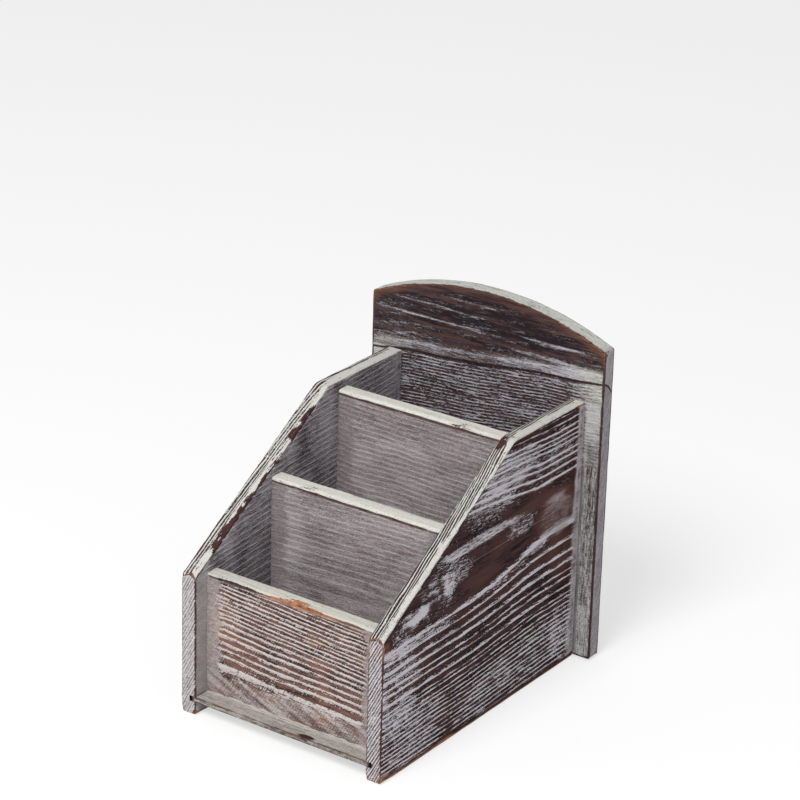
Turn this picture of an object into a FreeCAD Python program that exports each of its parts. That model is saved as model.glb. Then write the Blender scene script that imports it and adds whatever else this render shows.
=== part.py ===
import FreeCAD, Part
import os

# Remote control holder: a caddy of softwood boards with three slots, one behind the other.
# Two slanted side panels carry a front panel and two dividers between them, a thin bottom
# board in grooves, and a wider back board with an arched top. All is glued and nailed.
# Millimetres, +Z up, front facing -Y, origin under the middle of the whole object.

Vector = FreeCAD.Vector

# Stock
BOARD = 9.5                # thickness of every solid board
BOTTOM_BOARD = 3.0         # thickness of the thin board under the slots

# Slots
SLOT_WIDTH = 111.0         # clear width between the side panels
FRONT_SLOT = 45.5          # clear depth of each slot, front to back
MIDDLE_SLOT = 49.5
REAR_SLOT = 49.5
SLOT_FLOOR = 11.0          # height of the bottom board's top face

# Side panels
FRONT_HEIGHT = 81.0        # height of the straight front edge
SHOULDER_HEIGHT = 152.5    # height of the level stretch at the rear
SLOPE_RUN = 114.5          # how far back the slanted top edge reaches the level stretch
FOOT_ROUND = 1.5           # round of the front bottom corner
NOSE_ROUND = 2.5           # round where the front edge meets the slanted edge
SHOULDER_ROUND = 6.0       # round where the slanted edge meets the level stretch

# Front panel and dividers
FRONT_SETBACK = 9.5        # front panel's face behind the side panels' front edges
FRONT_PANEL_DROP = 6.5     # front panel's top below the slanted edge beside it
DIVIDER_DROP = 5.0         # dividers' tops below the side panels' edge beside them
TOP_ROUND = 1.8            # rounded arrises of the front panel's and dividers' top edges

# Groove for the bottom board
GROOVE_DEPTH = 3.8         # cut into each side panel's inner face
GROOVE_PLAY = 0.2          # groove's height beyond the bottom board's thickness
BOARD_TONGUE = 2.4         # how far the bottom board reaches into each groove
REAR_PLAY = 0.3            # gap between the bottom board and the back board

# Back board
BACK_OVERHANG = 11.0       # past each side panel's outer face
BACK_CORNER_RISE = 31.0    # corner height above the side panels' level stretch
ARCH_RISE = 16.5           # crown of the arch above the corners
BACK_FOOT_GAP = 1.0        # back board's bottom edge above the floor
CORNER_ROUND = 1.5         # the back board's four corners
EASE = 0.8                 # brushed-over arrises of the side panels and the back board

# Brads: flat-headed wire nails, punched under the surface and filled over
BRAD_LENGTH = 25.0
BRAD_WIDTH = 1.25
BRAD_DEPTH = 1.0
BRAD_HEAD_WIDTH = 2.0
BRAD_HEAD = 0.6
BRAD_POINT = 2.0           # length of the chisel point
BRAD_SET = 1.0             # head's depth below the board's face
BRAD_MARGIN = 16.0         # end brads' distance from the ends of the joint they hold
FRONT_PANEL_BRADS = 2      # in each side
MIDDLE_DIVIDER_BRADS = 2
REAR_DIVIDER_BRADS = 3
BACK_BRADS = 3             # into each side panel's rear end

# Places along the depth, measured back from the side panels' front edges
front_panel_y = FRONT_SETBACK
middle_divider_y = front_panel_y + BOARD + FRONT_SLOT
rear_divider_y = middle_divider_y + BOARD + MIDDLE_SLOT
side_depth = rear_divider_y + BOARD + REAR_SLOT
overall_depth = side_depth + BOARD

# Places across the width and up the height
inner_x = SLOT_WIDTH / 2
outer_x = inner_x + BOARD
back_x = outer_x + BACK_OVERHANG
back_corner_z = SHOULDER_HEIGHT + BACK_CORNER_RISE


def side_edge_height(y):
    """Height of a side panel's top edge at a distance y behind its front edge."""
    slope = (SHOULDER_HEIGHT - FRONT_HEIGHT) / SLOPE_RUN
    return min(FRONT_HEIGHT + slope * y, SHOULDER_HEIGHT)


front_panel_top = side_edge_height(front_panel_y) - FRONT_PANEL_DROP
middle_divider_top = side_edge_height(middle_divider_y) - DIVIDER_DROP
rear_divider_top = side_edge_height(rear_divider_y) - DIVIDER_DROP


def box(low, high):
    """Solid box between two opposite corners."""
    size = high - low
    return Part.makeBox(size.x, size.y, size.z, low)


def on_plane(edge, axis, value):
    """True where a whole edge lies in the plane axis = value."""
    ends = [getattr(vertex.Point, axis) for vertex in edge.Vertexes]
    middle = getattr(edge.CenterOfMass, axis)
    return all(abs(place - value) < 1e-6 for place in ends + [middle])


def mirrored(shape):
    """The same piece for the other side of the object."""
    return shape.mirror(Vector(0, 0, 0), Vector(1, 0, 0))


def side_panel():
    """Right side panel: profile extruded across, corners rounded, arrises eased, groove cut."""
    corners = [
        Vector(inner_x, 0, 0),
        Vector(inner_x, side_depth, 0),
        Vector(inner_x, side_depth, SHOULDER_HEIGHT),
        Vector(inner_x, SLOPE_RUN, SHOULDER_HEIGHT),
        Vector(inner_x, 0, FRONT_HEIGHT),
    ]
    profile = Part.Face(Part.makePolygon(corners + corners[:1]))
    panel = profile.extrude(Vector(BOARD, 0, 0))
    for corner, radius in ((0, FOOT_ROUND), (4, NOSE_ROUND), (3, SHOULDER_ROUND)):
        at = corners[corner]
        edges = [edge for edge in panel.Edges
                 if on_plane(edge, "y", at.y) and on_plane(edge, "z", at.z)]
        panel = panel.makeFillet(radius, edges)
    exposed = [edge for edge in panel.Edges
               if (on_plane(edge, "x", inner_x) or on_plane(edge, "x", outer_x))
               and not on_plane(edge, "y", side_depth)]
    panel = panel.makeChamfer(EASE, exposed)
    groove_low = SLOT_FLOOR - BOTTOM_BOARD
    groove = box(Vector(inner_x - EASE, -EASE, groove_low),
                 Vector(inner_x + GROOVE_DEPTH, side_depth + EASE, SLOT_FLOOR + GROOVE_PLAY))
    return panel.cut(groove)


def cross_panel(y, top):
    """Board between the side panels, standing on the bottom board, its top arrises rounded."""
    panel = box(Vector(-inner_x, y, SLOT_FLOOR), Vector(inner_x, y + BOARD, top))
    arrises = [edge for edge in panel.Edges
               if on_plane(edge, "z", top) and (on_plane(edge, "y", y) or on_plane(edge, "y", y + BOARD))]
    return panel.makeFillet(TOP_ROUND, arrises)


def bottom_board():
    """Thin board housed in both grooves, from the front edges back to the back board."""
    reach = inner_x + BOARD_TONGUE
    return box(Vector(-reach, 0, SLOT_FLOOR - BOTTOM_BOARD),
               Vector(reach, side_depth - REAR_PLAY, SLOT_FLOOR))


def back_board():
    """Board across the side panels' rear ends, its top edge one arc from corner to corner."""
    low_left = Vector(-back_x, side_depth, BACK_FOOT_GAP)
    low_right = Vector(back_x, side_depth, BACK_FOOT_GAP)
    top_right = Vector(back_x, side_depth, back_corner_z)
    top_left = Vector(-back_x, side_depth, back_corner_z)
    crown = Vector(0, side_depth, back_corner_z + ARCH_RISE)
    outline = Part.Wire([
        Part.makeLine(low_left, low_right),
        Part.makeLine(low_right, top_right),
        Part.Arc(top_right, crown, top_left).toShape(),
        Part.makeLine(top_left, low_left),
    ])
    board = Part.Face(outline).extrude(Vector(0, BOARD, 0))
    corners = [edge for edge in board.Edges
               if on_plane(edge, "x", back_x) or on_plane(edge, "x", -back_x)]
    corners = [edge for edge in corners
               if on_plane(edge, "z", BACK_FOOT_GAP) or on_plane(edge, "z", back_corner_z)]
    board = board.makeFillet(CORNER_ROUND, corners)
    arrises = [edge for edge in board.Edges
               if on_plane(edge, "y", side_depth) or on_plane(edge, "y", side_depth + BOARD)]
    return board.makeChamfer(EASE, arrises)


def brad():
    """Wire brad lying along +X from the top of its head, which is at the origin."""
    half_head = BRAD_HEAD_WIDTH / 2
    half_wire = BRAD_WIDTH / 2
    upper = [
        Vector(0, 0, half_head),
        Vector(BRAD_HEAD, 0, half_head),
        Vector(BRAD_HEAD, 0, half_wire),
        Vector(BRAD_LENGTH - BRAD_POINT, 0, half_wire),
        Vector(BRAD_LENGTH, 0, 0),
    ]
    lower = [Vector(point.x, 0, -point.z) for point in reversed(upper[:-1])]
    outline = Part.makePolygon(upper + lower + upper[:1])
    wire = Part.Face(outline).extrude(Vector(0, BRAD_DEPTH, 0))
    wire.translate(Vector(0, -BRAD_DEPTH / 2, 0))
    return wire


def brad_heights(low, high, count):
    """Heights of the brads along a joint, the end ones a margin away from its ends."""
    first = low + BRAD_MARGIN
    last = high - BRAD_MARGIN
    return [first + (last - first) * number / (count - 1) for number in range(count)]


def side_brads():
    """Brads through the right side panel into the ends of the three boards between the sides."""
    rows = (
        (front_panel_y, front_panel_top, FRONT_PANEL_BRADS),
        (middle_divider_y, middle_divider_top, MIDDLE_DIVIDER_BRADS),
        (rear_divider_y, rear_divider_top, REAR_DIVIDER_BRADS),
    )
    brads = []
    for y, top, count in rows:
        for height in brad_heights(SLOT_FLOOR, top, count):
            one = brad()
            one.rotate(Vector(0, 0, 0), Vector(0, 0, 1), 180)
            one.translate(Vector(outer_x - BRAD_SET, y + BOARD / 2, height))
            brads.append(one)
    return brads


def back_brads():
    """Brads through the back board into the right side panel's rear end."""
    brads = []
    for height in brad_heights(SLOT_FLOOR, SHOULDER_HEIGHT, BACK_BRADS):
        one = brad()
        one.rotate(Vector(0, 0, 0), Vector(0, 0, 1), -90)
        one.translate(Vector(inner_x + BOARD / 2, overall_depth - BRAD_SET, height))
        brads.append(one)
    return brads


def both_sides(brads):
    """A row of brads with its mirror image, as one group of separate solids."""
    return Part.makeCompound(brads + [mirrored(one) for one in brads])


def arch_radius():
    """Radius of the back board's arch, from its chord and its rise."""
    return (back_x ** 2 + ARCH_RISE ** 2) / (2 * ARCH_RISE)


def assemble():
    """Every piece by node name, with the brads' holes cut in the boards that they hold."""
    side_nails = both_sides(side_brads())
    back_nails = both_sides(back_brads())
    right_panel = side_panel().cut(side_nails).cut(back_nails)
    return {
        "left_side_panel": mirrored(right_panel),
        "right_side_panel": right_panel,
        "front_panel": cross_panel(front_panel_y, front_panel_top).cut(side_nails),
        "middle_divider": cross_panel(middle_divider_y, middle_divider_top).cut(side_nails),
        "rear_divider": cross_panel(rear_divider_y, rear_divider_top).cut(side_nails),
        "bottom_board": bottom_board(),
        "back_board": back_board().cut(back_nails),
        "side_brads": side_nails,
        "back_brads": back_nails,
    }


def export(pieces):
    """Centre the object over its origin and write one STEP file a piece."""
    os.makedirs("parts", exist_ok=True)
    for name, shape in pieces.items():
        placed = shape.copy()
        placed.translate(Vector(0, -overall_depth / 2, 0))
        placed.exportStep("parts/" + name + ".step")
        print(name, len(placed.Solids), "solids,", round(placed.Volume / 1000, 1), "cm3")


export(assemble())
print("arch radius", round(arch_radius(), 1), "mm, overall",
      round(2 * back_x, 1), "x", round(overall_depth, 1), "x", round(back_corner_z + ARCH_RISE, 1), "mm")
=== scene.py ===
import math
from itertools import product

import bmesh
import bpy
import numpy as np
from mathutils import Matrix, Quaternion, Vector


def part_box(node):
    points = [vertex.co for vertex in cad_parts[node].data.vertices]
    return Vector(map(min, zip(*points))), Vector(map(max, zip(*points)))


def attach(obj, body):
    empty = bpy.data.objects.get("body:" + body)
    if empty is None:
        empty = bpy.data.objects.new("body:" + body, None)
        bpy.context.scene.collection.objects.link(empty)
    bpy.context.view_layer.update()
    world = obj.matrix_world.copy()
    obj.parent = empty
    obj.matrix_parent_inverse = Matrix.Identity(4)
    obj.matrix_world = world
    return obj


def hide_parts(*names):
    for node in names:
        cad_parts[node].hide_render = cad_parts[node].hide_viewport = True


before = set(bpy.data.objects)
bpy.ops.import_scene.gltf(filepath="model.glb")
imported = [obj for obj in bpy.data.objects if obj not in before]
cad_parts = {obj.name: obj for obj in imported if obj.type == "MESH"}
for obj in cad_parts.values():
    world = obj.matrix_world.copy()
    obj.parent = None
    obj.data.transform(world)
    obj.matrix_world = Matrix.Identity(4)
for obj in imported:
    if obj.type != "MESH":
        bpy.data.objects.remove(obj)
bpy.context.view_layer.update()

# Side panels: two boards of torched softwood, wire brushed along the grain and wiped with white
# wash. Each has a straight front edge, a slanted edge and a level shoulder, and a groove inside
# for the bottom board. They stand on the floor and are glued and nailed to what lies between.

MM = 0.001

right_low, right_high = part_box("right_side_panel")
INNER_X, OUTER_X = right_low.x, right_high.x
BOARD = OUTER_X - INNER_X
SIDE_FRONT, SIDE_REAR = right_low.y, right_high.y
SIDE_TOP = right_high.z
FRONT_HEIGHT = 81 * MM
SLOPE_RUN = 114.5 * MM
SLANT = math.atan2(SIDE_TOP - FRONT_HEIGHT, SLOPE_RUN)
FOOT_ROUND = 1.5 * MM
NOSE_ROUND = 2.5 * MM
SHOULDER_ROUND = 6 * MM
ARRIS = 0.8 * MM  # brushed-over arrises
FOOT_EASE = 1.3 * MM  # more than that along the bottom
GROOVE_LOW, GROOVE_HIGH = 8 * MM, 11.2 * MM
GROOVE_DEPTH = 3.8 * MM
GROOVE_WALL = 0.02 * MM  # height of the two rows of cells that make the groove's walls
RIM = 1.2 * MM  # band of finer cells beside each arris
END_RIM = 1.6 * MM  # the same at the boards' ends
NOSE_BELOW, NOSE_ABOVE = 1.6 * MM, 1.4 * MM
RIDGE_RELIEF = 0.36 * MM  # latewood ridges above the brushed-out earlywood
STREAK_RELIEF = 0.10 * MM
SHARP_ANGLE = math.radians(55)
SIDE_RIDGE = 0.28  # part of each ring that its ridge takes
RIDGE_FOOT, RIDGE_CREST = 0.82, 0.86
BEFORE_SLOTS = 10 * MM  # from the front edges to the front panel's own wash
LAP_START, LAP_TOP = 1 * MM, 149 * MM  # where the edges' wash laps over the outer faces
SAW_LEAN = math.radians(62)  # from level, of the saw marks on the front edges
SAW_LINES = 1.4  # millimetres from one saw mark to the next
EDGE_LINES = 1.7  # millimetres between the lines brushed into the slanted edges


def cuts(start, *stretches):
    """Places of the cuts along one axis: each stretch is its end and its number of cells."""
    places = [start]
    for end, cells in stretches:
        places.extend(np.linspace(places[-1], end, cells + 1)[1:])
    return np.array(places)


def cut_block(name, x_cuts, y_cuts, z_cuts):
    """A closed block cut into a grid: its mesh, each vertex's place, and its place from -1 to 1."""
    block = bmesh.new()
    bmesh.ops.create_cube(block, size=2.0)
    for axis, places in enumerate((x_cuts, y_cuts, z_cuts)):
        along = [edge for edge in block.edges
                 if abs(edge.verts[0].co[axis] - edge.verts[1].co[axis]) > 1.0]
        bmesh.ops.subdivide_edges(block, edges=along, cuts=len(places) - 2, use_grid_fill=True)
    mesh = bpy.data.meshes.new(name)
    block.to_mesh(mesh)
    block.free()
    unit = np.empty(len(mesh.vertices) * 3)
    mesh.vertices.foreach_get("co", unit)
    unit = unit.reshape(-1, 3)
    place = np.empty_like(unit)
    for axis, places in enumerate((x_cuts, y_cuts, z_cuts)):
        number = np.rint((unit[:, axis] + 1) / 2 * (len(places) - 1)).astype(int)
        place[:, axis] = places[number]
    return mesh, place, np.rint(unit * 1e6) / 1e6


LATTICE = 32  # cells of the noise along each axis before it repeats
LATTICE_START = 7.3


def noise(seed, place, size):
    """Smooth noise from -1 to 1, in blotches of about this size along x, y and z, in millimetres."""
    lattice = np.random.RandomState(seed).uniform(-1, 1, (LATTICE, LATTICE, LATTICE))
    place = place / (np.asarray(size) * MM) + LATTICE_START
    low = np.floor(place).astype(int)
    part = place - low
    part = part * part * (3 - 2 * part)
    total = np.zeros(len(place))
    for corner in product((0, 1), repeat=3):
        weight = np.where(corner, part, 1 - part).prod(axis=1)
        x, y, z = ((low + corner) % LATTICE).T
        total += weight * lattice[x, y, z]
    return total


def ramp(value, low, high):
    """0 below low, 1 above high, and a smooth change between them."""
    part = np.clip((value - low) / (high - low), 0, 1)
    return part * part * (3 - 2 * part)


def fade(value, low, high):
    """1 below low, 0 above high, and a smooth change between them."""
    return 1 - ramp(value, low, high)


def ring_sway(seed, radius, size):
    """Noise that changes only with the radius of the growth rings, in millimetres."""
    return noise(seed, np.stack([radius] * 3, axis=1) * MM, size)


def ridge(rings, width):
    """Height of the brushed grain, 0 to 1, over growth rings whose ridge takes this part of each."""
    part = rings - np.floor(rings)
    return ramp(part, RIDGE_FOOT - width, RIDGE_CREST) * ramp(1 - part, 0.0, 0.12)


def patches(along, up, marks):
    """Sum of soft oval patches, each (along, up, half length, half height, amount), in millimetres."""
    total = np.zeros(len(along))
    for place, height, length, rise, amount in marks:
        away = ((along / MM - place) / length) ** 2 + ((up / MM - height) / rise) ** 2
        total += amount * fade(away, 0.35, 1.6)
    return total


def edge_depth(edges):
    """Depth behind the nearest of a board's edges, and the way out of it, rounded at corners."""
    blend = 0.3 * MM
    depths = np.stack([depth for depth, _ in edges])
    nearest = depths.min(axis=0)
    weights = np.exp(-(depths - nearest) / blend)
    outward = sum(weight[:, None] * way for weight, (_, way) in zip(weights, edges))
    outward /= np.linalg.norm(outward, axis=1)[:, None]
    return np.maximum(nearest - blend * np.log(weights.sum(axis=0)), 0), outward


def ease(place, face_axis, face_depth, face_way, depth, outward, radius):
    """Moves the points near an arris onto its round."""
    near = (face_depth < radius) & (depth < radius)
    beside, behind = face_depth - radius, depth - radius
    reach = np.maximum(np.hypot(beside, behind), 1e-9)
    face_move = radius + radius * beside / reach - face_depth
    edge_move = radius + radius * behind / reach - depth
    moved = place - edge_move[:, None] * outward
    moved[:, face_axis] -= face_way * face_move
    return np.where(near[:, None], moved, place)


def nearer_face(place, low, high):
    """Depth below the nearer of two opposite faces, the way out of it, and whether it's the higher."""
    higher = place > (low + high) / 2
    return np.where(higher, high - place, place - low), np.where(higher, 1, -1), higher


def comb_along(across, along, plane):
    """Place across the brush marks and along them, and a number that keeps surfaces apart."""
    return np.stack([across, along, np.full(len(along), float(plane))], axis=1)


def relief(brushed, grain, streaks):
    """How deep the brush has worn the wood between its ridges and along its streaks."""
    return brushed * (RIDGE_RELIEF * (1 - grain) + STREAK_RELIEF * (0.5 + 0.5 * streaks))


def shape_board(mesh, place, sunk):
    """Gives the grid its shape, then sinks each vertex straight into the wood."""
    mesh.vertices.foreach_set("co", place.ravel())
    mesh.update()
    normals = np.empty(place.size)
    mesh.vertex_normals.foreach_get("vector", normals)
    place = place - normals.reshape(-1, 3) * sunk[:, None]
    mesh.vertices.foreach_set("co", place.ravel())
    mesh.update()


def lay_fields(mesh, **fields):
    """Stores numbers or vectors for each vertex, for the finish to follow."""
    for name, values in fields.items():
        kind, item = ("FLOAT", "value") if values.ndim == 1 else ("FLOAT_VECTOR", "vector")
        field = mesh.attributes.new(name, kind, "POINT")
        field.data.foreach_set(item, values.astype(np.float32).ravel())


def add_object(name, data):
    piece = bpy.data.objects.new(name, data)
    bpy.context.scene.collection.objects.link(piece)
    return piece


def place_board(node, mesh, finish):
    """Puts a finished board in the scene in place of its plain solid."""
    mesh.polygons.foreach_set("use_smooth", [True] * len(mesh.polygons))
    mesh.set_sharp_from_angle(angle=SHARP_ANGLE)
    mesh.materials.append(finish)
    board = add_object(node + "_wood", mesh)
    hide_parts(node)
    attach(board, "root")


def round_inset(radius, away):
    """How far a round lies behind its tangent, at a distance along it from where they touch."""
    return radius - np.sqrt(radius ** 2 - np.clip(away, 0, radius) ** 2)


def side_edge(height):
    """How far back a side panel's front and slanted edge lies at each height."""
    rise = math.tan(SLANT)
    back = np.maximum(0, (height - FRONT_HEIGHT) / rise)
    back = np.where(height < FOOT_ROUND, round_inset(FOOT_ROUND, FOOT_ROUND - height), back)
    nose_z = FRONT_HEIGHT + rise * NOSE_ROUND - NOSE_ROUND / math.cos(SLANT)
    on_nose = (height > nose_z) & (height < nose_z + NOSE_ROUND * math.cos(SLANT))
    back = np.where(on_nose, round_inset(NOSE_ROUND, height - nose_z), back)
    shoulder_z = SIDE_TOP - SHOULDER_ROUND
    shoulder = SLOPE_RUN + SHOULDER_ROUND * (math.tan(SLANT / 2) - 1)
    shoulder = shoulder + round_inset(SHOULDER_ROUND, height - shoulder_z)
    on_shoulder = height > shoulder_z + SHOULDER_ROUND * math.cos(SLANT)
    return SIDE_FRONT + np.where(on_shoulder, shoulder, back)


def side_grid(node, side):
    """A side panel's grid in its true form: mesh, places, unit places, depth below the outer face."""
    across = cuts(INNER_X, (INNER_X + RIM, 3), (OUTER_X - RIM, 8), (OUTER_X, 3))
    x_cuts = across if side > 0 else -across[::-1]
    y_cuts = cuts(0, (0.010, 4), (0.98, 76), (1, 3))
    z_cuts = cuts(0, (END_RIM, 4), (GROOVE_LOW, 16), (GROOVE_LOW + GROOVE_WALL, 1),
                  (GROOVE_HIGH - GROOVE_WALL, 8), (GROOVE_HIGH, 1), (FRONT_HEIGHT - NOSE_BELOW, 185),
                  (FRONT_HEIGHT + NOSE_ABOVE, 10), (SIDE_TOP - RIM, 188), (SIDE_TOP, 5))
    mesh, place, unit = cut_block(node, x_cuts, y_cuts, z_cuts)
    height = place[:, 2]
    front = side_edge(height)
    place[:, 1] = front + place[:, 1] * (SIDE_REAR - front)
    below = OUTER_X - side * place[:, 0]
    along, up = place[:, 1] - SIDE_FRONT, height
    slope = along * math.sin(SLANT) - (up - FRONT_HEIGHT) * math.cos(SLANT)
    depth, outward = edge_depth([(along, (0, -1, 0)), (up, (0, 0, -1)), (SIDE_TOP - up, (0, 0, 1)),
                                 (slope, (0, -math.sin(SLANT), math.cos(SLANT)))])
    face_depth, way, _ = nearer_face(below, 0, BOARD)
    at_foot = fade(up, 2 * MM, 4 * MM)
    radius = ARRIS * (1 + 0.4 * noise(5 + side, place, 9))
    radius = radius + FOOT_EASE * at_foot * (1 - 0.8 * ramp(along, 4 * MM, 12 * MM))
    in_groove = (up > GROOVE_LOW + GROOVE_WALL / 2) & (up < GROOVE_HIGH - GROOVE_WALL / 2)
    eased = ease(place, 0, face_depth, -side * way, depth, outward, radius)
    eased[in_groove] = place[in_groove]
    thinner = side * (OUTER_X - below * (BOARD - GROOVE_DEPTH) / BOARD)
    eased[:, 0] = np.where(in_groove, thinner, eased[:, 0])
    reach = 1 + at_foot * (0.5 + 0.7 * fade(along, 58 * MM, 74 * MM))
    arris = fade(np.hypot(face_depth, depth) / reach, 0.2 * MM, 1.8 * MM) * ~in_groove
    arris = arris * (1 + 0.3 * noise(7 + side, place, 2.5))
    return mesh, eased, unit, below, arris


def slope_run(back):
    """Distance along a side panel's slanted edge and level shoulder from its nose, in millimetres."""
    on_slope = np.minimum(back, SLOPE_RUN) / math.cos(SLANT)
    return (on_slope + np.maximum(back - SLOPE_RUN, 0)) / MM


def side_panel(node, side, seed, rings_of, marks, daubs, bare, cream, rubs):
    """One side panel with its rings, brush marks, relief and wash."""
    mesh, place, unit, below, arris = side_grid(node, side)

    def rough(step, *size):
        return noise(seed + step, place, size)

    along, up = place[:, 1], place[:, 2]
    x, y, z = place.T / MM
    back, inward = along - SIDE_FRONT, below / MM
    sway = rough(0, 40, 42, 24) + 0.3 * rough(1, 30, 13, 6)
    rings, rise = rings_of(back / MM, z + sway, inward)
    broad = np.abs(unit[:, 0]) == 1
    on_front = unit[:, 1] == -1
    off_middle = 2 * inward * MM / BOARD - 1
    nose_line = FRONT_HEIGHT / MM + 0.2 - 2.4 * off_middle ** 2 + 0.5 * rough(8, 2.5)
    sawn = on_front & (z < nose_line)
    edge = (on_front & ~sawn) | (unit[:, 2] == 1)
    slope = slope_run(back)
    fan = 0.02 * slope + 0.0006 * np.clip(slope - 50, 0, 85) ** 2
    plane = 40 * side
    comb = comb_along(rise + 0.3 * rough(7, 16), y, plane)
    comb_edge = comb_along(inward - fan, slope, plane + 50)
    comb_sawn = comb_along(x * math.sin(SAW_LEAN) - z * math.cos(SAW_LEAN),
                           z * math.sin(SAW_LEAN), plane + 90)
    comb = np.where(edge[:, None], comb_edge, np.where(sawn[:, None], comb_sawn, comb))
    ragged = 0.30 * noise(seed + 10, comb * MM, (2, 14, 1000))
    edge_rings = comb[:, 0] / (EDGE_LINES * (1 - 0.15 * side)) + ragged
    edge_rings += 0.5 * noise(seed + 17, comb * MM, (3, 40, 1000))
    rings = np.where(edge, edge_rings, np.where(sawn, comb[:, 0] / SAW_LINES + ragged, rings))
    to_rear = (SIDE_REAR - along) / MM
    clear_of_rear = ramp(to_rear + 0.8 * rough(9, 6), 4, 8)
    inside = below > BOARD / 2
    outside = broad * ~inside
    in_slots = inside & (back > BEFORE_SLOTS)
    before_slots = inside & ~in_slots & broad
    bare_wood = patches(along, up, bare)
    unbrushed = np.clip(bare_wood, 0, 1)
    daubed = patches(along, up, daubs) * outside
    to_slope = (back * math.sin(SLANT) - (up - FRONT_HEIGHT) * math.cos(SLANT)) / MM
    lap_width = 0.5 + 1.1 * rough(21, 4)
    lapped = fade(to_slope - lap_width, -0.2, 0.3) * outside * (up < LAP_TOP) * (back > LAP_START)
    in_groove = (up > GROOVE_LOW - GROOVE_WALL) & (up < GROOVE_HIGH + GROOVE_WALL)
    # The groove's floor is given no wash and the charred colour: partly the wood's own colour, partly
    # painted shade for the dark recess.
    charred_and_shaded_groove = in_groove & (below > 0.97 * BOARD)
    brushed = broad * clear_of_rear * ramp(z, 2, 5) * (1 - 0.8 * unbrushed)
    brushed = np.where(in_slots, brushed * 0.16, np.where(before_slots, 0.05, brushed))
    fanned = ramp(slope, 66, 92) * fade(slope, 124, 133)
    cream_limit = cream + side * (2.2 * ramp(slope, 133, 143) - 2.4 * fanned)
    solid = ramp(side * (cream_limit + 0.9 * rough(4, 7) - inward), -0.7, 0.7)
    banded = np.where(edge, 2.1 * (1 - 0.62 * solid), np.where(sawn, 0.57 + 0.07 * side, brushed))
    banded = banded * (1 - 0.8 * lapped)
    lined = (0.25 + 0.75 * brushed) * (1 - 0.8 * unbrushed) * (1 - 0.45 * daubed)
    lined = np.where(inside, np.where(before_slots, 0.15, 0.4), lined)
    lined = np.where(edge, 0.5 + 0.4 * solid, np.where(sawn, 0.3, lined))
    covered = 0.40 + patches(along, up, marks) + 0.10 * rough(3, 20, 18, 7)
    covered = np.where(in_slots, 0.54 + 0.17 * rough(13, 20, 11, 26), covered)
    covered += daubed * (0.05 + 0.17 * rough(24, 20, 6, 2))
    covered += 0.16 * daubed * rough(25, 20, 2.2, 7)
    smear = rough(14, 9, 1.6, 22) + 0.6 * rough(15, 4)
    covered += (0.60 + 0.10 * smear - covered) * (1 - clear_of_rear)
    spots = fade(np.abs(to_rear - 2.6 + 0.8 * rough(18, 3)), 0.6, 1.8) * outside
    covered -= 0.10 * spots * (1 + 1.6 * rough(19, 2.4))
    covered -= 0.5 * fade(z + rough(12, 9), 1.8, 3.4) * ~in_slots
    covered = np.where(before_slots, 0.58 + 0.05 * rough(20, 5), covered)
    covered = np.maximum(covered, 0.95 * lapped)
    covered = np.where(sawn, 0.69 - 0.01 * side, covered)
    covered = np.where(edge, 1.09 - 0.03 * side + 0.08 * fanned, covered)
    # No wash on the groove's floor: partly painted shade in the recess.
    covered = np.where(charred_and_shaded_groove, -0.6, covered)
    rubbed = patches(slope * MM, below, rubs) * ~sawn
    rubbed = rubbed * (1 + 0.9 * noise(seed + 16, comb * MM, (1.2, 3.4, 1000)))
    rubbed = np.where(broad & ~edge, rubbed * (arris > 0.2), rubbed)
    saddle = fade(np.abs(z - nose_line - 0.5), 0.4, 1.5) * on_front
    rubbed = np.maximum(rubbed, saddle * (0.85 + 0.5 * rough(22, 1.3)))
    glow = arris * np.where(up < 4 * MM, 0.5 + 0.4 * fade(back / MM, 56, 76), 0.15 * (back < 3 * MM))
    bare_wood += (0.4 * rough(26, 30, 28, 11) + 0.5 * (1 - clear_of_rear)) * outside
    # The groove's floor takes the charred colour: partly painted shade in the recess.
    bare_wood = np.where(charred_and_shaded_groove, -1, np.maximum(bare_wood, np.maximum(glow, 0.45 * saddle)) + 0.4 * spots)
    streaks = noise(seed + 6, comb * MM, (0.6, 9, 1000))
    sunk = relief(brushed, ridge(rings, SIDE_RIDGE), streaks)
    sunk += edge * STREAK_RELIEF * (1 + streaks) * (1 - solid) + sawn * 0.5 * STREAK_RELIEF * (1 + streaks)
    sunk += 0.35 * MM * np.clip(rubbed, 0, 1)
    sealed = (in_groove & (below > BOARD - GROOVE_DEPTH)) | (unit[:, 1] == 1) | (unit[:, 2] == -1)
    shape_board(mesh, place, np.where(sealed, 0, sunk))
    painted = np.maximum(lapped, np.where(sawn, 0.3 - 0.15 * side, 0.6 * before_slots))
    worn = arris * (1 - 0.45 * edge) * (1 - 0.12 * inside) * ~in_slots * (1 - 0.7 * lapped)
    lay_fields(mesh, rings=rings, comb=comb, cover=covered, banded=banded, lined=lined,
               edge=np.where(edge, 1, painted), arris=worn, rubbed=rubbed, warm=bare_wood)
    return mesh


def right_rings(back, up, inward):
    """Ring count and height above the heart for the right panel, its rings closing towards the rear."""
    heart, near_pith, far_pith, first = 97, 40, 45, 46.65
    upper_first = 49.5
    rise = up - heart
    radius = np.hypot(rise, near_pith + (far_pith - near_pith) * ramp(back, 70, 150) - inward)
    sway = 0.9 * ring_sway(13, radius, 5.5)
    outer = np.maximum(radius - first - 24, 0)
    lower = (radius - first + 0.5 * outer + sway * ramp(radius - first, 0, 6)) / 3.47
    upper = (radius - upper_first + sway * ramp(radius - upper_first, 0, 6)) / 2.3 + 30
    rings = np.where(rise < 0, np.maximum(lower, -0.85), np.maximum(upper, 29.15)) + 0.9
    return rings, rise


def left_rings(back, up, inward):
    """Ring count and height above the heart for the left panel."""
    heart, pith, spacing = 34, 26, 2.9
    rise = up - heart - 0.06 * back
    radius = np.hypot(rise, pith + inward)
    return (radius + 0.8 * ring_sway(33, radius, 6)) / spacing, rise


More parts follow.
